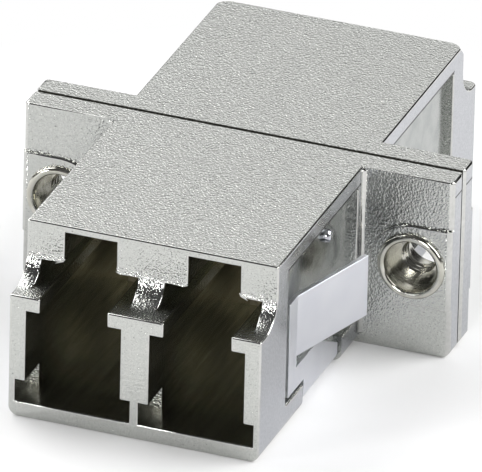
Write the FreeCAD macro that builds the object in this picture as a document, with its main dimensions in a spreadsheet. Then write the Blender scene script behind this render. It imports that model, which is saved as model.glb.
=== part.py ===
import FreeCAD, Part
import math
import os
import re
import Sketcher
from FreeCAD import Placement, Rotation, Vector

# Duplex LC fibre adapter with a screw flange.
# Frame: X across the two sockets, Y from the front sockets to the rear ones with 0 where the two
# housing halves meet, Z up with 0 under the housing. All sizes are in millimetres.

SIZES = {
    # housing block
    "cell_pitch": 6.25,          # centre to centre of the two plug channels
    "body_width": 12.7,
    "body_height": 9.4,
    "mouth_reach": 14.9,         # parting plane to the lower mouth face
    "bottom_corner": 0.5,
    "top_corner": 0.12,
    # stepped mouth
    "ledge_height": 6.4,
    "ledge_depth": 0.65,
    "scoop_radius": 1.5,
    "lip_round": 0.15,
    "ledge_round": 0.4,          # upright corners under the rear ledge
    "crown_round": 0.75,         # the rear block's top corners, at the top face
    "crown_taper": 30.0,
    "crown_depth": 0.6,
    # plug channel
    "channel_width": 4.78,
    "channel_floor": 0.8,
    "lug_underside": 5.65,
    "lug_gap": 3.4,
    "lug_round": 0.2,
    "shoulder_width": 4.88,
    "shoulder_top": 7.42,
    "slot_width": 2.6,
    "slot_top": 9.03,
    "slot_round": 0.25,
    "latch_end": 2.4,            # parting plane to the blind end of the latch way
    "catch_end": 5.6,            # parting plane to the catch faces of the lugs
    "relief_width": 5.8,
    "relief_top": 1.93,
    "relief_depth": 2.0,
    # flange
    "screw_pitch": 18.0,
    "end_margin": 2.0,           # screw centre to the flange end
    "plate_thickness": 1.4,
    "flange_corner": 0.45,
    "face_round": 0.3,
    "parting_round": 0.42,
    "parting_gap": 0.24,
    "parting_depth": 0.28,
    "boss_radius": 2.12,
    "boss_rise": 0.17,
    "junction_round": 0.28,      # between the block's sides and the flange
    # side pockets
    "pocket_front": 3.55,        # mouth face to the pocket
    "pocket_rear": 1.95,         # parting plane to the pocket
    "pocket_low": 1.33,
    "pocket_high": 8.48,
    "pocket_depth": 0.35,
    "pocket_corner": 0.15,
    "stud_diameter": 0.7,
    "stud_height": 0.33,
    "stud_reach": 5.4,
    "stud_level": 7.55,
    # spring clip
    "clip_sheet": 0.25,
    "clip_end_gap": 0.6,         # pocket's front wall to the clip
    "clip_bend": 0.3,
    "strap_recess": 0.4,
    "strap_near": 4.0,           # parting plane to the near edge of the strap
    "strap_width": 4.62,
    "recess_clearance": 0.3,
    "band_low": 1.45,
    "band_height": 1.15,
    "taper_length": 2.75,
    "taper_foot": 1.2,
    "post_width": 1.05,
    "leaf_low": 3.22,
    "leaf_height": 3.2,
    "leaf_length": 5.55,
    "leaf_angle": 17.0,
    # threaded bushes
    "shank_diameter": 3.0,
    "shank_clearance": 0.02,
    "rim_diameter": 3.4,
    "rim_height": 0.24,
    "rim_edge": 0.15,
    "counterbore_diameter": 2.62,
    "counterbore_depth": 1.36,   # rim to the step, the same from both ends
    "thread_bore": 1.6,          # crest diameter of the M2 thread
    "thread_chamfer": 0.09,
    # sleeve holder
    "holder_width": 11.5,
    "holder_low": 0.5,
    "holder_height": 6.2,
    "holder_thickness": 1.2,
    "holder_round": 0.3,
    "seat_clearance": 0.05,
    "spigot_diameter": 3.0,
    "spigot_chamfer": 0.25,
    "lip_thickness": 0.5,
    "lip_step": 0.083,           # how far the lip stands inside the holder bore
    "lip_lead": 0.2,
    # split sleeves
    "sleeve_bore": 1.246,
    "sleeve_wall": 0.18,
    "sleeve_length": 6.8,
    "sleeve_slit": 0.2,
    "sleeve_play": 0.12,         # holder bore over the sleeve, on the diameter
    "sleeve_float": 0.1,         # end play at each end
}

# Places that several pieces share, written with the names above.
UPPER_FACE = "(mouth_reach - ledge_depth - scoop_radius)"
MIDDLE = "(body_height / 2)"
SCREW_X = "(screw_pitch / 2)"
FLANGE_END = "(screw_pitch / 2 + end_margin)"
BOSS_FACE = "(plate_thickness + boss_rise)"
FLOOR_X = "(body_width / 2 - pocket_depth)"
POCKET_REACH = "(mouth_reach - pocket_front)"
CLIP_REACH = "(mouth_reach - pocket_front - clip_end_gap)"
LEAF_ROOT = "(mouth_reach - pocket_front - clip_end_gap - post_width)"
STRAP_REACH = "(strap_near + strap_width)"
PLUG_AXIS = "(channel_floor + channel_width / 2)"
SLEEVE_OUTER = "(sleeve_bore + 2 * sleeve_wall)"
HOLDER_BORE = "(sleeve_bore + 2 * sleeve_wall + sleeve_play)"
LIP_BORE = "(sleeve_bore + 2 * sleeve_wall + sleeve_play - 2 * lip_step)"
CAVITY_REACH = "(sleeve_length / 2 + sleeve_float)"
SPIGOT_REACH = "(sleeve_length / 2 + sleeve_float + lip_thickness)"

doc = FreeCAD.newDocument("lc_fibre_adapter")
sheet = doc.addObject("Spreadsheet::Sheet", "Sizes")
for row, (alias, size) in enumerate(SIZES.items(), 1):
    sheet.set(f"A{row}", alias)
    sheet.set(f"B{row}", str(size))
    sheet.setAlias(f"B{row}", alias)
doc.recompute()


def tie(text):
    """Point each size name in the text at its cell in the sheet."""
    return re.sub(r"\b[a-z]+(?:_[a-z]+)+\b", lambda name: "Sizes." + name.group(0), text)


def size_of(text):
    """Present value of an expression in the size names."""
    return float(sheet.evalExpression(text))


def bind(item, prop, text):
    item.setExpression(prop, tie(text))


def new_body(label):
    body = doc.addObject("PartDesign::Body", label)
    body.Label = label
    return body


def origin_item(body, role):
    return next(item for item in body.Origin.OriginFeatures if item.Role == role)


def new_sketch(body, name, plane, offset="0"):
    """Sketch on one of the body's origin planes, moved along that plane's normal."""
    sketch = body.newObject("Sketcher::SketchObject", name)
    sketch.AttachmentSupport = [(origin_item(body, plane), "")]
    sketch.MapMode = "FlatFace"
    bind(sketch, "AttachmentOffset.Base.z", offset)
    return sketch


def add_sizes(sketch, entries):
    """Dimensions of a sketch, each bound to its expression."""
    for kind, reference, text in entries:
        value = size_of(text)
        index = sketch.addConstraint(Sketcher.Constraint(kind, *reference, value))
        sketch.setExpression(f"Constraints[{index}]", tie(text))


def corner_arc(before, corner, after, radius_text):
    """Tangent points, centre and turn of a round between two edges that run along the axes."""
    radius = size_of(radius_text)
    come = (corner - before).normalize()
    leave = (after - corner).normalize()
    start = corner - come * radius
    end = corner + leave * radius
    centre = start + leave * radius
    turn = 1 if come.cross(leave).z > 0 else -1
    return come, leave, start, end, centre, turn, radius


def shifted(text, step, radius_text):
    """Expression of a coordinate moved by the radius along an axis step of -1, 0 or 1."""
    sign = round(step)
    if sign == 0:
        return text
    return f"{text} {'+' if sign > 0 else '-'} {radius_text}"


def add_outline(sketch, corners):
    """Closed outline through corners (x, y) or (x, y, round), all given as expressions."""
    places = [Vector(size_of(c[0]), size_of(c[1]), 0) for c in corners]
    count = len(corners)
    path = []
    for i, corner in enumerate(corners):
        before, here, after = places[i - 1], places[i], places[(i + 1) % count]
        if len(corner) == 2:
            path.append({"in": here, "in_text": corner, "out": here, "out_text": corner, "arc": None})
            continue
        radius_text = corner[2]
        come, leave, start, end, centre, turn, radius = corner_arc(before, here, after, radius_text)
        start_text = (shifted(corner[0], -come.x, radius_text), shifted(corner[1], -come.y, radius_text))
        end_text = (shifted(corner[0], leave.x, radius_text), shifted(corner[1], leave.y, radius_text))
        path.append({"in": start, "in_text": start_text, "out": end, "out_text": end_text,
                     "arc": (centre, turn, radius, radius_text)})
    joints = []
    entries = []
    for i, step in enumerate(path):
        if step["arc"]:
            centre, turn, radius, radius_text = step["arc"]
            first, last = (step["in"], step["out"]) if turn > 0 else (step["out"], step["in"])
            angles = [math.atan2(p.y - centre.y, p.x - centre.x) for p in (first, last)]
            circle = Part.Circle(centre, Vector(0, 0, 1), radius)
            arc = sketch.addGeometry(Part.ArcOfCircle(circle, angles[0], angles[1]), False)
            begin, finish = (1, 2) if turn > 0 else (2, 1)
            joints.append((arc, begin, finish))
            entries.append(("Radius", (arc,), radius_text))
            entries.append(("DistanceX", (-1, 1, arc, begin), step["in_text"][0]))
            entries.append(("DistanceY", (-1, 1, arc, begin), step["in_text"][1]))
        following = path[(i + 1) % count]
        if step["out"].distanceToPoint(following["in"]) < 1e-6:
            continue
        line = sketch.addGeometry(Part.LineSegment(step["out"], following["in"]), False)
        joints.append((line, 1, 2))
        entries.append(("DistanceX", (-1, 1, line, 1), step["out_text"][0]))
        entries.append(("DistanceY", (-1, 1, line, 1), step["out_text"][1]))
    for (item, _, finish), (following, begin, _) in zip(joints, joints[1:] + joints[:1]):
        sketch.addConstraint(Sketcher.Constraint("Coincident", item, finish, following, begin))
    add_sizes(sketch, entries)


def add_circle(sketch, x, y, diameter):
    centre = Vector(size_of(x), size_of(y), 0)
    circle = sketch.addGeometry(Part.Circle(centre, Vector(0, 0, 1), size_of(diameter) / 2), False)
    add_sizes(sketch, [("DistanceX", (-1, 1, circle, 3), x),
                       ("DistanceY", (-1, 1, circle, 3), y),
                       ("Diameter", (circle,), diameter)])


def box_corners(low_x, low_y, high_x, high_y, *rounds):
    """Four corners from the lower left, counter-clockwise, with a round on each if given."""
    corners = [(low_x, low_y), (high_x, low_y), (high_x, high_y), (low_x, high_y)]
    if rounds:
        corners = [corner + (size,) for corner, size in zip(corners, rounds)]
    return corners


def pad(body, name, sketch, length, symmetric=False, reverse=False):
    feature = body.newObject("PartDesign::Pad", name)
    feature.Profile = sketch
    feature.SideType = "Symmetric" if symmetric else "One side"
    feature.Reversed = reverse
    bind(feature, "Length", length)
    doc.recompute()
    return feature


def pocket(body, name, sketch, depth=None, symmetric=False, reverse=False):
    """Cut against the sketch's normal, or along it if reversed; without a depth it goes through."""
    feature = body.newObject("PartDesign::Pocket", name)
    feature.Profile = sketch
    feature.SideType = "Symmetric" if symmetric else "One side"
    feature.Reversed = reverse
    if depth is None:
        feature.Type = "ThroughAll"
    else:
        bind(feature, "Length", depth)
    volume = body.Shape.Volume
    doc.recompute()
    if body.Shape.Volume > volume - 1e-4:
        raise RuntimeError(f"{name} cuts nothing")
    return feature


def mirror(body, name, features):
    feature = body.newObject("PartDesign::Mirrored", name)
    feature.Originals = features
    feature.MirrorPlane = (origin_item(body, "YZ_Plane"), [""])
    body.Tip = feature
    doc.recompute()
    return feature


def block(body):
    """Rounded block from the parting plane to the mouth, with the step and scoop over the ledge."""
    front = new_sketch(body, "block_section", "XZ_Plane")
    add_outline(front, box_corners("-body_width / 2", "0", "body_width / 2", "body_height",
                                   "bottom_corner", "bottom_corner", "top_corner", "top_corner"))
    pad(body, "block", front, "mouth_reach")
    side = new_sketch(body, "mouth_profile", "YZ_Plane")
    add_outline(side, [("-(mouth_reach + scoop_radius)", "ledge_height"),
                       (f"-{UPPER_FACE}", "ledge_height", "scoop_radius"),
                       (f"-{UPPER_FACE}", "body_height + scoop_radius"),
                       ("-(mouth_reach + scoop_radius)", "body_height + scoop_radius")])
    pocket(body, "mouth_step", side, symmetric=True)


def corner_waste(body, name, level, reach, radius):
    """Plan of what is cut to round the two upright corners of a mouth face."""
    waste = new_sketch(body, name, "XY_Plane", level)
    for sign in ("-", ""):
        side = f"{sign}body_width / 2"
        inner = f"{sign}(body_width / 2 - {radius})"
        outer = f"{sign}(body_width / 2 + {radius})"
        add_outline(waste, [(inner, f"-({reach} + {radius})"), (outer, f"-({reach} + {radius})"),
                            (outer, f"-({reach} - {radius})"), (side, f"-({reach} - {radius})"),
                            (side, f"-{reach}", radius), (inner, f"-{reach}")])
    return waste


def mouth_corners(body):
    """Round corners under the ledge, and top corners whose round runs out a little below the top."""
    ledge = corner_waste(body, "ledge_waste", "ledge_height", "mouth_reach", "ledge_round")
    pocket(body, "ledge_corners", ledge)
    crown = corner_waste(body, "crown_waste", "body_height", UPPER_FACE, "crown_round")
    cut = pocket(body, "crown_corners", crown, "crown_depth")
    bind(cut, "TaperAngle", "-crown_taper")
    doc.recompute()


def flange(body):
    """Flange plate with rounded ends and a raised boss band out of each screw hole."""
    plate = new_sketch(body, "flange_outline", "XZ_Plane")
    add_outline(plate, box_corners(f"-{FLANGE_END}", "0", FLANGE_END, "body_height",
                                   "flange_corner", "flange_corner", "lip_round", "lip_round"))
    pad(body, "flange", plate, "plate_thickness")
    ends = new_sketch(body, "flange_ends", "XY_Plane")
    for sign in ("-", ""):
        end_waste(ends, sign, "plate_thickness", ("face_round", "parting_round"))
    pocket(body, "end_rounds", ends, symmetric=True)
    bands = new_sketch(body, "boss_outline", "XZ_Plane")
    for sign in ("-", ""):
        add_outline(bands, [(f"{sign}{FLANGE_END}", f"{MIDDLE} - boss_radius"),
                            (f"{sign}{FLANGE_END}", f"{MIDDLE} + boss_radius"),
                            (f"{sign}({SCREW_X} - boss_radius)", f"{MIDDLE} + boss_radius", "boss_radius"),
                            (f"{sign}({SCREW_X} - boss_radius)", f"{MIDDLE} - boss_radius", "boss_radius")])
    pad(body, "boss_bands", bands, BOSS_FACE)
    tips = new_sketch(body, "band_ends", "XY_Plane", MIDDLE)
    for sign in ("-", ""):
        end_waste(tips, sign, BOSS_FACE, ("face_round", "parting_round"))
    pocket(body, "band_rounds", tips, "2 * boss_radius", symmetric=True)


def end_waste(sketch, sign, thickness, rounds):
    """Plan of what is cut from a flange end: all that lies outside its two rounded edges."""
    edge = f"{sign}{FLANGE_END}"
    inner = f"{sign}({FLANGE_END} - parting_round - face_round)"
    outer = f"{sign}({FLANGE_END} + parting_round)"
    clear = f"{thickness} + parting_round"
    add_outline(sketch, [(inner, f"-({clear})"), (outer, f"-({clear})"), (outer, "parting_round"),
                         (inner, "parting_round"), (inner, "0"), (edge, "0", rounds[1]),
                         (edge, f"-({thickness})", rounds[0]), (inner, f"-({thickness})")])


def junction_rounds(body):
    """Hollow rounds up the two corners between the block's sides and the flange."""
    corners = new_sketch(body, "junction_plan", "XY_Plane", "bottom_corner")
    for sign in ("-", ""):
        side = f"{sign}body_width / 2"
        inner = f"{sign}(body_width / 2 - junction_round)"
        outer = f"{sign}(body_width / 2 + junction_round)"
        add_outline(corners, [(inner, "-(plate_thickness - junction_round)"),
                              (outer, "-(plate_thickness - junction_round)"),
                              (outer, "-plate_thickness"), (side, "-plate_thickness", "junction_round"),
                              (side, "-(plate_thickness + junction_round)"),
                              (inner, "-(plate_thickness + junction_round)")])
    pad(body, "junction_rounds", corners, "body_height - bottom_corner - top_corner")


def parting_edge(body):
    """Narrow rebate round the parting face, half of the shadow gap between the halves."""
    ring = new_sketch(body, "parting_ring", "XZ_Plane")
    add_outline(ring, box_corners("-screw_pitch", "-body_height", "screw_pitch", "2 * body_height"))
    add_outline(ring, box_corners(f"-({FLANGE_END} - parting_depth)", "parting_depth",
                                  f"{FLANGE_END} - parting_depth", "body_height - parting_depth"))
    pocket(body, "parting_rebate", ring, "parting_gap / 2", reverse=True)


def screw_holes(body):
    holes = new_sketch(body, "screw_hole_centres", "XZ_Plane")
    for sign in ("-", ""):
        add_circle(holes, f"{sign}{SCREW_X}", MIDDLE, "shank_diameter + 2 * shank_clearance")
    pocket(body, "screw_holes", holes, f"{BOSS_FACE} + parting_gap", reverse=True)


def sockets(body):
    """The two plug channels: square channel, latch way over it, catch space and corner reliefs."""
    channels = new_sketch(body, "channel_section", "XZ_Plane")
    latches = new_sketch(body, "latch_section", "XZ_Plane", "latch_end")
    catches = new_sketch(body, "catch_section", "XZ_Plane", "latch_end")
    reliefs = new_sketch(body, "relief_section", "XZ_Plane", "mouth_reach - relief_depth")
    for sign in ("-", ""):
        def across(width, side):
            return f"{sign}(cell_pitch / 2 {side} {width} / 2)"

        add_outline(channels, box_corners(across("channel_width", "-"), "channel_floor",
                                          across("channel_width", "+"), "lug_underside"))
        add_outline(latches, [
            (across("lug_gap", "-"), "lug_underside - lug_round"),
            (across("lug_gap", "+"), "lug_underside - lug_round"),
            (across("lug_gap", "+"), "ledge_height"),
            (across("shoulder_width", "+"), "ledge_height"),
            (across("shoulder_width", "+"), "shoulder_top"),
            (across("slot_width", "+"), "shoulder_top", "slot_round"),
            (across("slot_width", "+"), "slot_top"),
            (across("slot_width", "-"), "slot_top"),
            (across("slot_width", "-"), "shoulder_top", "slot_round"),
            (across("shoulder_width", "-"), "shoulder_top"),
            (across("shoulder_width", "-"), "ledge_height"),
            (across("lug_gap", "-"), "ledge_height")])
        add_outline(catches, box_corners(across("shoulder_width", "-"), "lug_underside - lug_round",
                                         across("shoulder_width", "+"), "ledge_height + lug_round"))
        add_outline(reliefs, box_corners(across("relief_width", "-"), "channel_floor",
                                         across("relief_width", "+"), "relief_top"))
    pocket(body, "plug_channels", channels, reverse=True)
    pocket(body, "latch_ways", latches, reverse=True)
    pocket(body, "catch_spaces", catches, "catch_end - latch_end", reverse=True)
    pocket(body, "corner_reliefs", reliefs, reverse=True)
    seat = new_sketch(body, "holder_seat_outline", "XZ_Plane")
    add_outline(seat, box_corners("-(holder_width / 2 + seat_clearance)", "holder_low",
                                  "holder_width / 2 + seat_clearance",
                                  "holder_low + holder_height + seat_clearance",
                                  *["holder_round"] * 4))
    pocket(body, "holder_seat", seat, "holder_thickness", reverse=True)


def side_pockets(body):
    sketch = new_sketch(body, "pocket_outline", "YZ_Plane", "body_width / 2")
    add_outline(sketch, box_corners(f"-{POCKET_REACH}", "pocket_low", "-pocket_rear", "pocket_high",
                                    *["pocket_corner"] * 4))
    cut = pocket(body, "side_pocket", sketch, "pocket_depth")
    mirror(body, "side_pockets", [cut])


def studs(body):
    sketch = new_sketch(body, "stud_outline", "YZ_Plane", FLOOR_X)
    add_circle(sketch, "-stud_reach", "stud_level", "stud_diameter")
    stud = pad(body, "stud", sketch, "stud_height")
    mirror(body, "studs", [stud])


def strap_recess(body):
    """Shallow recess round the bottom and lower sides, in which the spring clip's strap lies."""
    sketch = new_sketch(body, "recess_section", "XZ_Plane", "strap_near - recess_clearance")
    outer = "(body_width / 2 + bottom_corner)"
    top = "(pocket_low + pocket_corner)"
    add_outline(sketch, [(f"-{outer}", top), (f"-{outer}", "-bottom_corner"),
                         (outer, "-bottom_corner"), (outer, top),
                         (FLOOR_X, top), (FLOOR_X, "strap_recess", "clip_bend"),
                         (f"-{FLOOR_X}", "strap_recess", "clip_bend"), (f"-{FLOOR_X}", top)])
    pocket(body, "strap_recess", sketch, "strap_width + 2 * recess_clearance", reverse=True)


def housing(label, clip_side):
    """Die-cast half of the housing, from the parting plane to the mouth at -Y."""
    body = new_body(label)
    block(body)
    if not clip_side:
        mouth_corners(body)
    flange(body)
    junction_rounds(body)
    parting_edge(body)
    screw_holes(body)
    sockets(body)
    side_pockets(body)
    if clip_side:
        studs(body)
        strap_recess(body)
    return body


def spring_clip():
    """Spring steel clip folded from one sheet: strap under the housing, side plates and leaves."""
    body = new_body("spring_clip")
    wrap = new_sketch(body, "strap_section", "XZ_Plane", "strap_near")
    outer = f"({FLOOR_X} + clip_sheet)"
    add_outline(wrap, [(f"-{outer}", "taper_foot"),
                       (f"-{outer}", "strap_recess - clip_sheet", "(clip_bend + clip_sheet)"),
                       (outer, "strap_recess - clip_sheet", "(clip_bend + clip_sheet)"),
                       (outer, "taper_foot"),
                       (FLOOR_X, "taper_foot"), (FLOOR_X, "strap_recess", "clip_bend"),
                       (f"-{FLOOR_X}", "strap_recess", "clip_bend"), (f"-{FLOOR_X}", "taper_foot")])
    pad(body, "strap", wrap, "strap_width")
    side = new_sketch(body, "side_outline", "YZ_Plane", FLOOR_X)
    add_outline(side, [(f"-{CLIP_REACH}", "band_low"),
                       (f"-{STRAP_REACH}", "band_low"),
                       (f"-{STRAP_REACH}", "taper_foot"),
                       ("-strap_near", "taper_foot"),
                       ("-(strap_near + taper_length)", "band_low + band_height"),
                       (f"-{LEAF_ROOT}", "band_low + band_height"),
                       (f"-{LEAF_ROOT}", "leaf_low + leaf_height"),
                       (f"-{CLIP_REACH}", "leaf_low + leaf_height")])
    plate = pad(body, "side_plate", side, "clip_sheet")
    leaf_plan = new_sketch(body, "leaf_plan", "XY_Plane", "leaf_low")
    tip_x = f"{FLOOR_X} + leaf_length * sin(leaf_angle)"
    tip_y = f"-{LEAF_ROOT} + leaf_length * cos(leaf_angle)"
    add_outline(leaf_plan, [(FLOOR_X, f"-{LEAF_ROOT}"), (tip_x, tip_y),
                            (f"{tip_x} + clip_sheet * cos(leaf_angle)",
                             f"{tip_y} - clip_sheet * sin(leaf_angle)"),
                            (outer, f"-{LEAF_ROOT} - clip_sheet * tan(leaf_angle / 2)")])
    leaf = pad(body, "leaf", leaf_plan, "leaf_height")
    mirror(body, "other_side", [plate, leaf])
    return body


def threaded_bush(label, sign):
    """Turned bush that clamps both flange plates: rim and counterbore at each end, thread between."""
    body = new_body(label)
    profile = new_sketch(body, "bush_profile", "XY_Plane")
    front = f"({BOSS_FACE} + rim_height)"
    step = f"({front} - counterbore_depth)"
    wide = "counterbore_diameter / 2"
    crest = "thread_bore / 2"
    half = [(crest, f"{step} - thread_chamfer"),
            (f"{crest} + thread_chamfer", step),
            (wide, step),
            (wide, f"{front} - rim_edge"),
            (f"{wide} + rim_edge", front),
            ("rim_diameter / 2 - rim_edge", front),
            ("rim_diameter / 2", f"{front} - rim_edge"),
            ("rim_diameter / 2", BOSS_FACE),
            ("shank_diameter / 2", BOSS_FACE)]
    add_outline(profile, half + [(x, f"-({y})") for x, y in reversed(half)])
    turned = body.newObject("PartDesign::Revolution", "turned_bush")
    turned.Profile = profile
    turned.ReferenceAxis = (profile, ["V_Axis"])
    turned.Angle = 360
    bind(body, "Placement.Base.x", f"{sign}{SCREW_X}")
    bind(body, "Placement.Base.z", MIDDLE)
    return body


def sleeve_holder(label):
    """Moulded holder half: a plate seated in the housing half with two spigots for the sleeves."""
    body = new_body(label)
    plate = new_sketch(body, "plate_outline", "XZ_Plane")
    add_outline(plate, box_corners("-holder_width / 2", "holder_low", "holder_width / 2",
                                   "holder_low + holder_height", *["holder_round"] * 4))
    pad(body, "plate", plate, "holder_thickness")
    centres = [f"{sign}cell_pitch / 2" for sign in ("-", "")]
    spigots = new_sketch(body, "spigot_outline", "XZ_Plane")
    cavities = new_sketch(body, "cavity_outline", "XZ_Plane")
    lips = new_sketch(body, "lip_outline", "XZ_Plane")
    for centre in centres:
        add_circle(spigots, centre, PLUG_AXIS, "spigot_diameter")
        add_circle(cavities, centre, PLUG_AXIS, HOLDER_BORE)
        add_circle(lips, centre, PLUG_AXIS, LIP_BORE)
    pad(body, "spigots", spigots, SPIGOT_REACH)
    pocket(body, "sleeve_cavities", cavities, CAVITY_REACH, reverse=True)
    lip_cut = pocket(body, "lip_bores", lips, reverse=True)
    reach = size_of(SPIGOT_REACH)
    rims = {"spigot_chamfer": size_of("spigot_diameter") / 2, "lip_lead": size_of(LIP_BORE) / 2}
    base = lip_cut
    for width, radius in rims.items():
        names = [f"Edge{number}" for number, edge in enumerate(base.Shape.Edges, 1)
                 if isinstance(edge.Curve, Part.Circle) and abs(edge.Curve.Radius - radius) < 1e-6
                 and abs(edge.Curve.Center.y + reach) < 1e-6]
        chamfer = body.newObject("PartDesign::Chamfer", f"{width}_edge")
        chamfer.Base = (base, names)
        bind(chamfer, "Size", width)
        doc.recompute()
        base = chamfer
    return body


def split_sleeve(label, sign):
    """Zirconia split sleeve that lies in the holder bores, with its slit upwards."""
    body = new_body(label)
    ring = new_sketch(body, "sleeve_section", "XZ_Plane")
    add_circle(ring, "0", "0", SLEEVE_OUTER)
    add_circle(ring, "0", "0", "sleeve_bore")
    pad(body, "tube", ring, "sleeve_length", symmetric=True)
    slit = new_sketch(body, "slit_section", "XZ_Plane")
    add_outline(slit, box_corners("-sleeve_slit / 2", "0", "sleeve_slit / 2", "sleeve_bore"))
    pocket(body, "slit", slit, symmetric=True)
    bind(body, "Placement.Base.x", f"{sign}cell_pitch / 2")
    bind(body, "Placement.Base.z", f"{PLUG_AXIS} - sleeve_play / 2")
    return body


turned_round = Placement(Vector(0, 0, 0), Rotation(Vector(0, 0, 1), 180))
pieces = [housing("front_housing", clip_side=True), housing("rear_housing", clip_side=False),
          sleeve_holder("front_sleeve_holder"), sleeve_holder("rear_sleeve_holder"),
          spring_clip(),
          threaded_bush("left_threaded_bush", "-"), threaded_bush("right_threaded_bush", ""),
          split_sleeve("left_split_sleeve", "-"), split_sleeve("right_split_sleeve", "")]
for piece in pieces:
    if piece.Label.startswith("rear"):
        piece.Placement = turned_round
doc.recompute()

for item in doc.Objects:
    if "Invalid" in item.State or "Error" in item.State:
        raise RuntimeError(f"{item.Label}: {item.State}")
for piece in pieces:
    if piece.Shape.isNull() or not piece.Shape.isValid() or len(piece.Shape.Solids) != 1:
        raise RuntimeError(f"{piece.Label} has no single valid solid")

os.makedirs("parts", exist_ok=True)
for piece in pieces:
    piece.Shape.exportStep(os.path.join("parts", piece.Label + ".step"))
    print(f"{piece.Label}: {piece.Shape.Volume:.2f} mm3")
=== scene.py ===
import math

import bpy
from mathutils import Matrix, Vector


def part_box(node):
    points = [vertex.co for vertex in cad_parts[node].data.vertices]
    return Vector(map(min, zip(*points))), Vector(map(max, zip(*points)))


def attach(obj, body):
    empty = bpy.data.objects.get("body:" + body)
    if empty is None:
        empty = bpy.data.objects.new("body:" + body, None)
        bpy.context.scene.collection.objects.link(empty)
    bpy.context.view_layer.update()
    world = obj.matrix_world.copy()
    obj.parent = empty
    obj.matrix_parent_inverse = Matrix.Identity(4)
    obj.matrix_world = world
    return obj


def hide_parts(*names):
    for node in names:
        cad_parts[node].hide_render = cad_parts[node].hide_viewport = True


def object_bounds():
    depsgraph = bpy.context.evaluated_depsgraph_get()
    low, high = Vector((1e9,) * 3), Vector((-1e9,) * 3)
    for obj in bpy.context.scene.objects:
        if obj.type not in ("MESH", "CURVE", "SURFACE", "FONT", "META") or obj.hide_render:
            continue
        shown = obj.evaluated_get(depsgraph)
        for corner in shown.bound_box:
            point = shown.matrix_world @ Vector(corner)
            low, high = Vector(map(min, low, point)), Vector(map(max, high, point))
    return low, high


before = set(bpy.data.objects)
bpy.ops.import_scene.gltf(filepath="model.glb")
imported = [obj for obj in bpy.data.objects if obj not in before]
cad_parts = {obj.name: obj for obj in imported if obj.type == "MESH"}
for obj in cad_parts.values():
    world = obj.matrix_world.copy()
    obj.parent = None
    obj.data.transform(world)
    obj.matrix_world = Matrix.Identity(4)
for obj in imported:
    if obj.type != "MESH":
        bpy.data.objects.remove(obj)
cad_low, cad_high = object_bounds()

MM = 0.001
BODY = "root"
PITCH = 6.25 * MM                     # between the centres of the two plug channels
SCREW_X = 9.0 * MM
MIDDLE = (cad_low.z + cad_high.z) / 2
STUD_REACH = 5.4 * MM                 # from the parting plane to the studs in the front half's pockets
STUD_LEVEL = 7.55 * MM
BLOCK_SIDE = 6.2 * MM                 # the block's sides lie farther out than this, its pockets do not

# Half width, floor, top and mouth of a plug channel and of the latch way over it.
PLUG_CHANNEL = (2.42 * MM, 0.79 * MM, 5.7 * MM, 14.6 * MM)
LATCH_WAY = (2.46 * MM, 5.2 * MM, 9.1 * MM, 12.3 * MM)

SHARP = math.radians(35)              # corners turned less than this stay as they are

# Widths of the broken edges.
CAST_EDGE, SHEET_EDGE, MOULDED_EDGE = 0.08 * MM, 0.02 * MM, 0.05 * MM

# Places of the finishes in the list that a casting is given.
PLATED, SMOOTH, CHANNEL, PAINTED_SHADE, POCKET, POLISHED = range(6)


# ---------------------------------------------------------------- modelling helpers

def nothing_selected():
    if bpy.context.object and bpy.context.object.mode != "OBJECT":
        bpy.ops.object.mode_set(mode="OBJECT")
    bpy.ops.object.select_all(action="DESELECT")


def take(piece):
    """Make one piece the selected and active one."""
    nothing_selected()
    piece.select_set(True)
    bpy.context.view_layer.objects.active = piece


def modified(kind, **settings):
    """Add a modifier to the active piece, set it and apply it."""
    bpy.ops.object.modifier_add(type=kind)
    modifier = bpy.context.object.modifiers[-1]
    for name, value in settings.items():
        setattr(modifier, name, value)
    bpy.ops.object.modifier_apply(modifier=modifier.name)


def settle(piece):
    """Bake the piece's place into its mesh and let it ride with the adapter."""
    take(piece)
    bpy.ops.object.transform_apply(location=True, rotation=True, scale=True)
    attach(piece, BODY)
    return piece


# Tight corners left as they are: low and high corner of each in mm, by distance from the middle.
TIGHT_CORNERS = [
    ((10.5, 0.0, 2.33), (11.1, 1.75, 2.83)),      # ends of the boss bands, lower
    ((10.5, 0.0, 6.57), (11.1, 1.75, 7.07)),      # and upper
    ((5.5, 11.9, 7.85), (6.5, 13.0, 7.95)),       # tops of the scoops, at the block's sides
    ((5.9, 1.5, 1.2), (6.1, 2.2, 1.6)),           # the side pockets' lower corners by the flange
    ((5.9, 4.9, 7.1), (6.4, 5.9, 8.0)),           # studs
    ((5.9, 3.5, 0.3), (6.4, 3.8, 1.35)),          # ends of the strap recess by the flange
    ((0.0, 0.0, -1.0), (20.0, 0.14, 11.0)),       # parting plane
    ((1.0, 2.3, 5.3), (5.3, 2.5, 5.8)),           # blind ends of the latch ways
]
# The tapered top corners of the rear half are left too: least x and y, and the levels between, in mm.
CROWN_X, CROWN_Y, CROWN_LOW, CROWN_HIGH = 5.55, 12.2, 8.8, 9.45


def in_tight_corner(point):
    """Whether a point lies in one of the corners whose edges stay sharp."""
    place = (abs(point.x) / MM, abs(point.y) / MM, point.z / MM)
    if point.y > CROWN_Y * MM and place[0] > CROWN_X and CROWN_LOW < place[2] < CROWN_HIGH:
        return True
    return any(all(low <= at <= high for low, at, high in zip(first, place, last))
               for first, last in TIGHT_CORNERS)


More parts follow.
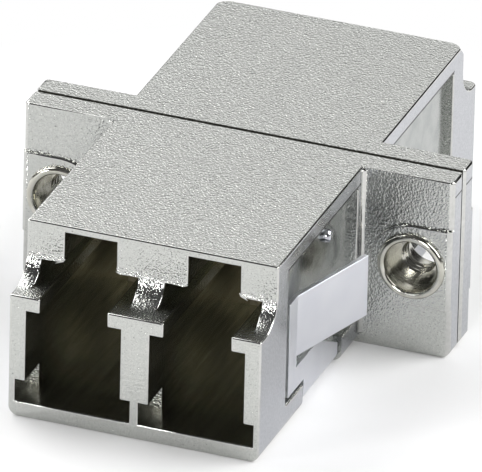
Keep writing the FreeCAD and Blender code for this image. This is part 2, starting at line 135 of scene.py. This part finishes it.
def mark_sharp_edges(piece):
    """Give every sharp outer edge away from the tight corners its full bevel weight.

    An edge is an outer one where its second face falls away behind the first.
    """
    mesh = piece.data
    beside = {}
    for face in mesh.polygons:
        ring = list(face.vertices)
        for here, there in zip(ring, ring[1:] + ring[:1]):
            along = mesh.vertices[there].co - mesh.vertices[here].co
            beside.setdefault((min(here, there), max(here, there)), []).append(
                (face.normal.copy(), face.normal.cross(along)))
    weights = mesh.attributes.new("bevel_weight_edge", "FLOAT", "EDGE")
    for edge in mesh.edges:
        (first, _), (second, inward) = beside[tuple(sorted(edge.vertices))]
        ends = [mesh.vertices[end].co for end in edge.vertices]
        sharp = first.angle(second, 0) > SHARP and first.dot(inward) < 0
        if sharp and not in_tight_corner((ends[0] + ends[1]) / 2):
            weights.data[edge.index].value = 1.0


def domed_studs(piece):
    """Round the end of each stud in the side pockets to a dome."""
    take(piece)
    bpy.ops.object.mode_set(mode="EDIT")
    bpy.ops.mesh.select_all(action="DESELECT")
    bpy.ops.mesh.select_mode(type="FACE")
    bpy.ops.object.mode_set(mode="OBJECT")
    for face in piece.data.polygons:
        far = Vector((0, face.center.y + STUD_REACH, face.center.z - STUD_LEVEL)).length
        face.select = far < 0.1 * MM and abs(face.normal.x) > 0.9 and abs(face.center.x) > 6.1 * MM
    bpy.ops.object.mode_set(mode="EDIT")
    bpy.ops.mesh.region_to_loop()
    bpy.ops.mesh.bevel(offset=0.26 * MM, segments=5, affect="EDGES")
    bpy.ops.object.mode_set(mode="OBJECT")


def dressed_copy(node, name, edge, finishes, smooth_to=40, shaped=None):
    """Copy of a plain piece, cleaned to whole faces, its sharp edges broken and in the last finish."""
    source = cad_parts[node]
    piece = bpy.data.objects.new(name, source.data.copy())
    bpy.context.scene.collection.objects.link(piece)
    take(piece)
    bpy.ops.object.mode_set(mode="EDIT")
    bpy.ops.mesh.select_all(action="SELECT")
    bpy.ops.mesh.customdata_custom_splitnormals_clear()
    bpy.ops.mesh.remove_doubles(threshold=0.002 * MM)
    bpy.ops.mesh.dissolve_limited(angle_limit=math.radians(0.5))
    bpy.ops.object.mode_set(mode="OBJECT")
    if shaped:
        shaped(piece)
    piece.data.materials.clear()
    for finish in finishes:
        piece.data.materials.append(finish)
    mark_sharp_edges(piece)
    modified("BEVEL", width=edge, segments=3, limit_method="WEIGHT", use_clamp_overlap=False,
             miter_outer="MITER_SHARP", material=len(finishes) - 1)
    bpy.ops.object.shade_smooth_by_angle(angle=math.radians(smooth_to))
    modified("WEIGHTED_NORMAL", keep_sharp=True, weight=100)
    settle(piece)
    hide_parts(node)
    return piece


# ---------------------------------------------------------------- material helpers

class Shading:
    """The node tree of a material or the world, with short calls for adding nodes to it."""

    def __init__(self, tree):
        self.tree = tree

    def node(self, kind, **settings):
        made = self.tree.nodes.new(kind)
        for name, value in settings.items():
            setattr(made, name, value)
        return made

    def join(self, source, target):
        self.tree.links.new(source, target)

    def ramp(self, value, stops):
        made = self.node("ShaderNodeValToRGB")
        elements = made.color_ramp.elements
        while len(elements) < len(stops):
            elements.new(0.5)
        for element, (at, colour) in zip(elements, stops):
            element.position = at
            element.color = (*colour, 1)
        self.join(value, made.inputs["Fac"])
        return made.outputs["Color"]

    def span(self, value, low, high, to_low, to_high):
        made = self.node("ShaderNodeMapRange")
        for name, number in (("From Min", low), ("From Max", high), ("To Min", to_low), ("To Max", to_high)):
            made.inputs[name].default_value = number
        self.join(value, made.inputs["Value"])
        return made.outputs["Result"]

    def maths(self, operation, first, second):
        made = self.node("ShaderNodeMath", operation=operation)
        for socket, value in zip(made.inputs, (first, second)):
            if isinstance(value, (int, float)):
                socket.default_value = value
            else:
                self.join(value, socket)
        return made.outputs["Value"]

    def scaled(self, colour, factor):
        made = self.node("ShaderNodeVectorMath", operation="SCALE")
        self.join(colour, made.inputs["Vector"])
        self.join(factor, made.inputs["Scale"])
        return made.outputs["Vector"]

    def parts(self, place):
        """The sockets X, Y and Z of a place."""
        made = self.node("ShaderNodeSeparateXYZ")
        self.join(place, made.inputs["Vector"])
        return made.outputs


class Finish(Shading):
    """A named material with its principled shader, its texture placed on the object."""

    def __init__(self, name, colour, metallic, roughness):
        self.material = bpy.data.materials.new(name)
        self.material.use_nodes = True
        super().__init__(self.material.node_tree)
        self.shader = self.tree.nodes["Principled BSDF"]
        self.shader.inputs["Base Color"].default_value = (*colour, 1)
        self.shader.inputs["Metallic"].default_value = metallic
        self.shader.inputs["Roughness"].default_value = roughness
        self.place = self.node("ShaderNodeTexCoord").outputs["Object"]

    def noise(self, size, detail=3.0, rough=0.55, stretch=None):
        """Noise whose grains are about the given size in metres."""
        made = self.node("ShaderNodeTexNoise")
        made.inputs["Scale"].default_value = 1 / size
        made.inputs["Detail"].default_value = detail
        made.inputs["Roughness"].default_value = rough
        place = self.place
        if stretch:
            mapping = self.node("ShaderNodeMapping")
            mapping.inputs["Scale"].default_value = stretch
            self.join(place, mapping.inputs["Vector"])
            place = mapping.outputs["Vector"]
        self.join(place, made.inputs["Vector"])
        return made.outputs["Fac"]

    def cells(self, size):
        """Distance to the nearest grain centre, for pits and peaks of the given size."""
        made = self.node("ShaderNodeTexVoronoi")
        made.inputs["Scale"].default_value = 1 / size
        self.join(self.place, made.inputs["Vector"])
        return made.outputs["Distance"]

    def bump(self, height, depth, strength=1.0, after=None):
        made = self.node("ShaderNodeBump")
        made.inputs["Distance"].default_value = depth
        made.inputs["Strength"].default_value = strength
        self.join(height, made.inputs["Height"])
        if after:
            self.join(after, made.inputs["Normal"])
        return made.outputs["Normal"]

    def colour_from(self, value):
        self.join(value, self.shader.inputs["Base Color"])

    def roughness_from(self, value):
        self.join(value, self.shader.inputs["Roughness"])

    def normal_from(self, value):
        self.join(value, self.shader.inputs["Normal"])


def greys(*stops):
    """Stops of a ramp in plain greys."""
    return [(at, (tone,) * 3) for at, tone in stops]


# ---------------------------------------------------------------- finishes

def plated_casting():
    """Nickel over a sand-fine die casting: bright, with the grain of the tumbled surface."""
    finish = Finish("plated_casting", (0.60, 0.61, 0.59), 1.0, 0.3)
    grain = finish.noise(0.065 * MM, detail=1.5, rough=0.6)
    peel = finish.cells(0.12 * MM)
    cloud = finish.noise(2.5 * MM, detail=2.0)
    finish.colour_from(finish.ramp(grain, [(0.36, (0.54, 0.55, 0.53)), (0.66, (0.67, 0.68, 0.65))]))
    finish.roughness_from(finish.span(cloud, 0.3, 0.7, 0.14, 0.22))
    coarse = finish.bump(peel, 0.023 * MM, 0.9)
    finish.normal_from(finish.bump(grain, 0.017 * MM, 0.9, after=coarse))
    return finish.material


def smooth_casting():
    """Sides of the casting, smooth from the die, with a slight bluish tint painted in as reflected bluish
    surroundings, and a painted shade line over the pockets.
    """
    finish = Finish("smooth_casting", (0.55, 0.56, 0.58), 1.0, 0.2)
    grain = finish.noise(0.13 * MM, detail=1.5)
    cloud = finish.noise(1.6 * MM, detail=2.0)
    # Painted reflection: the slight blue in these greys stands in for reflected bluish surroundings.
    tone = finish.ramp(grain, [(0.35, (0.47, 0.48, 0.51)), (0.65, (0.56, 0.57, 0.60))])
    # Painted shade: a thin dark line along the side just over each pocket's upper lip, ending past the
    # pockets' ends.
    place = finish.parts(finish.place)
    level = finish.maths("ABSOLUTE", finish.maths("SUBTRACT", place["Z"], 8.585 * MM), 0.0)
    reach = finish.maths("ABSOLUTE", place["Y"], 0.0)
    shade_line = finish.span(level, 0.03 * MM, 0.06 * MM, 0.08, 1.0)
    past_pocket = finish.span(reach, 11.40 * MM, 11.45 * MM, 0.0, 1.0)
    finish.colour_from(finish.scaled(tone, finish.maths("MAXIMUM", shade_line, past_pocket)))
    finish.roughness_from(finish.span(cloud, 0.3, 0.7, 0.16, 0.24))
    finish.normal_from(finish.bump(grain, 0.006 * MM, 0.6))
    return finish.material


def pocket_casting():
    """Floors of the side pockets: smooth and duller, with a slight wave."""
    finish = Finish("pocket_casting", (0.42, 0.43, 0.42), 1.0, 0.14)
    wave = finish.noise(0.9 * MM, detail=2.0)
    finish.colour_from(finish.ramp(wave, [(0.35, (0.36, 0.38, 0.37)), (0.65, (0.46, 0.47, 0.46))]))
    finish.normal_from(finish.bump(wave, 0.02 * MM, 0.5))
    return finish.material


def polished_edge():
    """Edges and small rounds, rubbed bright by tumbling."""
    finish = Finish("polished_edge", (0.66, 0.66, 0.64), 1.0, 0.1)
    wear = finish.noise(0.25 * MM, detail=2.0)
    finish.colour_from(finish.ramp(wear, [(0.3, (0.60, 0.60, 0.58)), (0.7, (0.70, 0.70, 0.68))]))
    finish.roughness_from(finish.span(wear, 0.3, 0.7, 0.07, 0.18))
    return finish.material


def parting_gap():
    """Dull faces painted near black with a mottled tone: painted shade in the narrow gap between the halves
    and under the pockets' upper lips.
    """
    finish = Finish("parting_gap", (0.06, 0.06, 0.05), 0.6, 0.6)
    mottle = finish.noise(0.12 * MM, detail=2.0)
    finish.colour_from(finish.ramp(mottle, [(0.45, (0.03, 0.03, 0.025)), (0.8, (0.16, 0.16, 0.14))]))
    return finish.material


def inner_casting():
    """The same nickel down in the channels: smoother, with drawing streaks, warm, with painted shade
    darkening it towards the mouths.
    """
    finish = Finish("inner_casting", (0.68, 0.67, 0.52), 0.85, 0.2)
    streak = finish.noise(0.4 * MM, detail=3.0, stretch=(1.0, 0.10, 1.0))
    grain = finish.noise(0.15 * MM, detail=2.0)
    tone = finish.ramp(streak, [(0.3, (0.56, 0.55, 0.42)), (0.7, (0.78, 0.77, 0.62))])
    reach = finish.maths("ABSOLUTE", finish.parts(finish.place)["Y"], 0.0)
    # Painted shade: the tone falls from 0.85 to 0.2 between 9 and 13 mm out, darkest at the mouths.
    finish.colour_from(finish.scaled(tone, finish.span(reach, 9.0 * MM, 13.0 * MM, 0.85, 0.2)))
    finish.roughness_from(finish.span(streak, 0.3, 0.7, 0.14, 0.26))
    finish.normal_from(finish.bump(grain, 0.016 * MM, 0.8))
    return finish.material


def spring_sheet():
    """Nickel-plated spring steel strip, rolled flat, with a very fine rolling grain."""
    finish = Finish("spring_sheet", (0.74, 0.75, 0.79), 1.0, 0.24)
    rolled = finish.noise(0.08 * MM, detail=2.0, stretch=(1.0, 0.2, 1.0))
    cloud = finish.noise(1.8 * MM, detail=1.0)
    finish.colour_from(finish.ramp(cloud, [(0.3, (0.71, 0.72, 0.77)), (0.7, (0.76, 0.77, 0.81))]))
    finish.roughness_from(finish.span(rolled, 0.3, 0.7, 0.28, 0.36))
    finish.normal_from(finish.bump(rolled, 0.002 * MM, 0.4))
    return finish.material


def turned_nickel():
    """Bright plated turning: fine tool rings and a warm cast."""
    finish = Finish("turned_nickel", (0.64, 0.62, 0.56), 1.0, 0.16)
    rings = finish.noise(0.10 * MM, detail=2.0, stretch=(0.15, 1.0, 0.15))
    finish.colour_from(finish.ramp(rings, [(0.3, (0.54, 0.53, 0.46)), (0.7, (0.72, 0.71, 0.66))]))
    finish.roughness_from(finish.span(rings, 0.3, 0.7, 0.12, 0.24))
    finish.normal_from(finish.bump(rings, 0.003 * MM, 0.5))
    return finish.material


def holder_plastic():
    """Moulded plastic of the sleeve holders, with a fine spark-eroded texture."""
    finish = Finish("holder_plastic", (0.175, 0.16, 0.095), 0.0, 0.5)
    spark = finish.noise(0.05 * MM, detail=2.0)
    finish.colour_from(finish.ramp(spark, [(0.3, (0.17, 0.15, 0.10)), (0.7, (0.23, 0.20, 0.13))]))
    finish.normal_from(finish.bump(spark, 0.004 * MM, 0.5))
    return finish.material


def sleeve_ceramic():
    """Ground zirconia."""
    finish = Finish("sleeve_ceramic", (0.86, 0.85, 0.80), 0.0, 0.18)
    ground = finish.noise(0.04 * MM, detail=2.0)
    finish.roughness_from(finish.span(ground, 0.3, 0.7, 0.14, 0.24))
    finish.normal_from(finish.bump(ground, 0.001 * MM, 0.3))
    return finish.material


# ---------------------------------------------------------------- pieces

def in_channel(point):
    """Inside one of the plug channels or latch ways, behind their mouths."""
    across = abs(abs(point.x) - PITCH / 2)
    return any(across < half and floor < point.z < top and abs(point.y) < mouth
               for half, floor, top, mouth in (PLUG_CHANNEL, LATCH_WAY))


def at_pocket_lip(point):
    """On the upper lip of a side pocket."""
    return 8.45 * MM < point.z < 8.62 * MM and abs(point.x) > BLOCK_SIDE


def casting_region(face):
    """Which finish a face of the casting has: its number in the list of finishes."""
    place, normal = face.center, face.normal
    across, reach = abs(place.x), abs(place.y)
    relief = place.z < 1.95 * MM and abs(reach - 13.8 * MM) < 1.05 * MM and across < BLOCK_SIDE
    stud = abs(reach - STUD_REACH) < 0.5 * MM and abs(place.z - STUD_LEVEL) < 0.5 * MM
    scoop = 6.35 * MM < place.z < 7.95 * MM and reach > 12.7 * MM
    slanted = max(abs(part) for part in normal) < 0.97
    sideways = abs(normal.x) > 0.8
    if in_channel(place):
        return CHANNEL
    # Painted shade: faces in the parting gap take the near black painted-shade finish.
    if reach < 0.13 * MM:
        return PAINTED_SHADE
    if relief:
        return PLATED
    if stud:
        return SMOOTH
    # Painted shade: the downward-facing round under a pocket's upper lip takes the near black painted-shade
    # finish.
    if at_pocket_lip(place) and normal.z < -0.1:
        return PAINTED_SHADE
    if slanted and not scoop:
        return POLISHED
    if sideways and across > 6.05 * MM:
        return SMOOTH
    if sideways and across > 5.9 * MM:
        return POCKET
    return PLATED


def cast_half(node, finishes, shaped=None):
    """Die-cast half: grained outside, smooth sides, channels, painted shade in the parting gap and under the
    pocket lips, pockets, polished edges.
    """
    piece = dressed_copy(node, node.replace("housing", "casting"), CAST_EDGE, finishes,
                         shaped=shaped)
    for face in piece.data.polygons:
        broken_edge = face.material_index == POLISHED
        if not broken_edge or in_channel(face.center) or at_pocket_lip(face.center):
            face.material_index = casting_region(face)
    return piece


def rolled(centre, along, radius, first, last, steps=4):
    """Points of a quarter round in the bush's profile, from one angle to another."""
    points = []
    for step in range(steps + 1):
        angle = math.radians(first + (last - first) * step / steps)
        points.append((centre + radius * math.cos(angle), along + radius * math.sin(angle)))
    return points


def turned_bush(finish):
    """Right bush, turned from bar: rolled rims, a counterbore at each end, two thread grooves between."""
    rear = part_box("right_threaded_bush")[1].y
    seat = 1.57 * MM
    rim, shank, counterbore = 1.7 * MM, 1.5 * MM, 1.31 * MM
    roll = 0.18 * MM
    step, crest, root = 0.45 * MM, 0.8 * MM, 0.98 * MM
    # Out from the middle: a ring groove for the thread, a chamfer and the step to the counterbore.
    half = [(crest, 0.03 * MM), (root, 0.16 * MM), (root, 0.20 * MM), (crest, 0.33 * MM),
            (crest, 0.37 * MM), (crest + 0.10 * MM, step), (counterbore, step)]
    half += rolled(counterbore + roll, rear - roll, roll, 180, 90)
    half += rolled(rim - roll, rear - roll, roll, 90, 0)
    half += [(rim, seat), (shank, seat)]
    profile = half + [(radius, -along) for radius, along in reversed(half)]

    nothing_selected()
    here = profile[0]
    bpy.ops.mesh.primitive_circle_add(vertices=72, radius=here[0], location=(SCREW_X, here[1], MIDDLE),
                                      rotation=(math.radians(90), 0, 0))
    piece = bpy.context.object
    piece.name = "right_turned_bush"
    bpy.ops.object.transform_apply(location=True, rotation=True, scale=True)
    bpy.ops.object.mode_set(mode="EDIT")
    bpy.ops.mesh.select_all(action="SELECT")
    for radius, along in profile[1:] + profile[:1]:
        bpy.ops.mesh.extrude_edges_move(TRANSFORM_OT_translate={"value": (0, along - here[1], 0)})
        grow = radius / here[0]
        bpy.ops.transform.resize(value=(grow, 1, grow), center_override=(SCREW_X, along, MIDDLE))
        here = (radius, along)
    bpy.ops.mesh.select_all(action="SELECT")
    bpy.ops.mesh.remove_doubles(threshold=0.001 * MM)
    bpy.ops.mesh.normals_make_consistent(inside=False)
    bpy.ops.object.mode_set(mode="OBJECT")
    bpy.ops.object.shade_smooth_by_angle(angle=math.radians(32))
    piece.data.materials.append(finish)
    settle(piece)
    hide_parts("right_threaded_bush")
    return piece


def other_bush(bush):
    """The left bush, a copy with its own mesh."""
    take(bush)
    bpy.ops.object.duplicate(linked=False)
    piece = bpy.context.object
    piece.name = "left_turned_bush"
    piece.location.x -= 2 * SCREW_X
    settle(piece)
    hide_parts("left_threaded_bush")
    return piece


def finish_node(node, finish):
    """Give a plain piece its finish and leave its shape."""
    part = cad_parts[node]
    part.data.materials.clear()
    part.data.materials.append(finish)


# ---------------------------------------------------------------- stage, lamps, camera

def paper_floor():
    """White studio paper: keeps the shadow near the adapter and runs to pure white further out."""
    nothing_selected()
    bpy.ops.mesh.primitive_plane_add(size=2.4, location=(0, 0, cad_low.z))
    floor = bpy.context.object
    floor.name = "paper_floor"
    finish = Finish("studio_paper", (0.86, 0.86, 0.86), 0.0, 0.9)
    seen = finish.node("ShaderNodeLightPath").outputs["Is Camera Ray"]
    finish.colour_from(finish.ramp(seen, greys((0.0, 0.72), (1.0, 0.88))))
    glow = finish.node("ShaderNodeEmission")
    glow.inputs["Color"].default_value = (1, 1, 1, 1)
    glow.inputs["Strength"].default_value = 1.0
    blend = finish.node("ShaderNodeMixShader")
    finish.join(finish.shader.outputs["BSDF"], blend.inputs[1])
    finish.join(glow.outputs["Emission"], blend.inputs[2])
    distance = finish.node("ShaderNodeVectorMath", operation="LENGTH")
    finish.join(finish.place, distance.inputs[0])
    far = finish.span(distance.outputs["Value"], 14 * MM, 30 * MM, 0.0, 1.0)
    finish.join(finish.maths("MULTIPLY", far, seen), blend.inputs["Fac"])
    finish.join(blend.outputs["Shader"], finish.tree.nodes["Material Output"].inputs["Surface"])
    floor.data.materials.append(finish.material)


def softbox(name, place, aim, size, power):
    """White rectangular lamp turned to its aim."""
    lamp = bpy.data.lights.new(name, "AREA")
    lamp.shape = "RECTANGLE"
    lamp.size, lamp.size_y = size
    lamp.energy = power
    holder = bpy.data.objects.new(name, lamp)
    bpy.context.scene.collection.objects.link(holder)
    holder.location = place
    holder.rotation_euler = (Vector(aim) - Vector(place)).to_track_quat("-Z", "Y").to_euler()


def studio_world():
    """Dark room with a bright band low in the left back; white only to the camera."""
    world = bpy.data.worlds.new("studio")
    bpy.context.scene.world = world
    world.use_nodes = True
    room = Shading(world.node_tree)
    look = room.parts(room.node("ShaderNodeTexCoord").outputs["Generated"])
    behind = room.span(look["Y"], -0.25, 0.25, 0.0, 1.0)
    front = room.ramp(look["Z"], greys((0.0, 0.16), (0.15, 0.06), (0.90, 0.05), (1.0, 0.10)))
    back = room.ramp(look["Z"], greys((0.0, 0.05), (0.22, 0.12), (0.34, 0.90), (0.60, 1.15),
                                      (0.78, 1.05), (0.90, 0.25), (1.0, 0.10)))
    dark_side = room.span(look["X"], -0.04, 0.16, 1.0, 0.05)
    # Sockets 0, 6 and 7 of a colour mix are its factor and two colours, and 2 is its result.
    around = room.node("ShaderNodeMix", data_type="RGBA")
    room.join(behind, around.inputs[0])
    room.join(front, around.inputs[6])
    room.join(room.scaled(back, dark_side), around.inputs[7])
    surround = room.tree.nodes["Background"]
    room.join(around.outputs[2], surround.inputs["Color"])
    white = room.node("ShaderNodeBackground")
    white.inputs["Color"].default_value = (1, 1, 1, 1)
    white.inputs["Strength"].default_value = 1.0
    blend = room.node("ShaderNodeMixShader")
    room.join(room.node("ShaderNodeLightPath").outputs["Is Camera Ray"], blend.inputs["Fac"])
    room.join(surround.outputs["Background"], blend.inputs[1])
    room.join(white.outputs["Background"], blend.inputs[2])
    room.join(blend.outputs["Shader"], room.tree.nodes["World Output"].inputs["Surface"])


def studio_camera():
    """Long lens from the front right and above, turned a little about its own axis."""
    distance = 0.7
    azimuth, elevation, roll = math.radians(20.135), math.radians(27.213), math.radians(1.41)
    back = Vector((math.sin(azimuth) * math.cos(elevation), -math.cos(azimuth) * math.cos(elevation),
                   math.sin(elevation)))
    right = Vector((math.cos(azimuth), math.sin(azimuth), 0))
    up = back.cross(right)
    across = right * math.cos(roll) + up * math.sin(roll)
    upward = up * math.cos(roll) - right * math.sin(roll)
    turn = Matrix((across, upward, back)).transposed().to_4x4()
    lens = bpy.data.cameras.new("studio_camera")
    lens.lens = 1089.9
    lens.sensor_width = 36
    lens.clip_start, lens.clip_end = 0.05, 5
    camera = bpy.data.objects.new("studio_camera", lens)
    bpy.context.scene.collection.objects.link(camera)
    aim = Vector((-0.036, -0.611, 4.022)) * MM
    camera.matrix_world = Matrix.Translation(aim + back * distance) @ turn
    bpy.context.scene.camera = camera


castings = (plated_casting(), smooth_casting(), inner_casting(), parting_gap(), pocket_casting(),
            polished_edge())
bright, moulded, ceramic = turned_nickel(), holder_plastic(), sleeve_ceramic()
cast_half("front_housing", castings, shaped=domed_studs)
cast_half("rear_housing", castings)
dressed_copy("spring_clip", "folded_clip", SHEET_EDGE, [spring_sheet()], smooth_to=12)
other_bush(turned_bush(bright))
for end in ("front", "rear"):
    dressed_copy(f"{end}_sleeve_holder", f"{end}_moulded_holder", MOULDED_EDGE,
                 [moulded])
finish_node("left_split_sleeve", ceramic)
finish_node("right_split_sleeve", ceramic)

paper_floor()
studio_world()
softbox("left", (-0.40, 0.16, 0.34), (0, 0, 0), (0.46, 0.46), 2.5)
softbox("right", (0.40, 0.14, 0.34), (0, 0, 0), (0.46, 0.46), 3.9)
softbox("front_left", (-0.34, -0.36, 0.12), (0, 0, 0.004), (0.08, 0.08), 0.80)
softbox("front", (0.06, -0.50, 0.16), (0, 0, 0.004), (0.10, 0.10), 0.75)
studio_camera()
bpy.context.scene.view_settings.view_transform = "Standard"
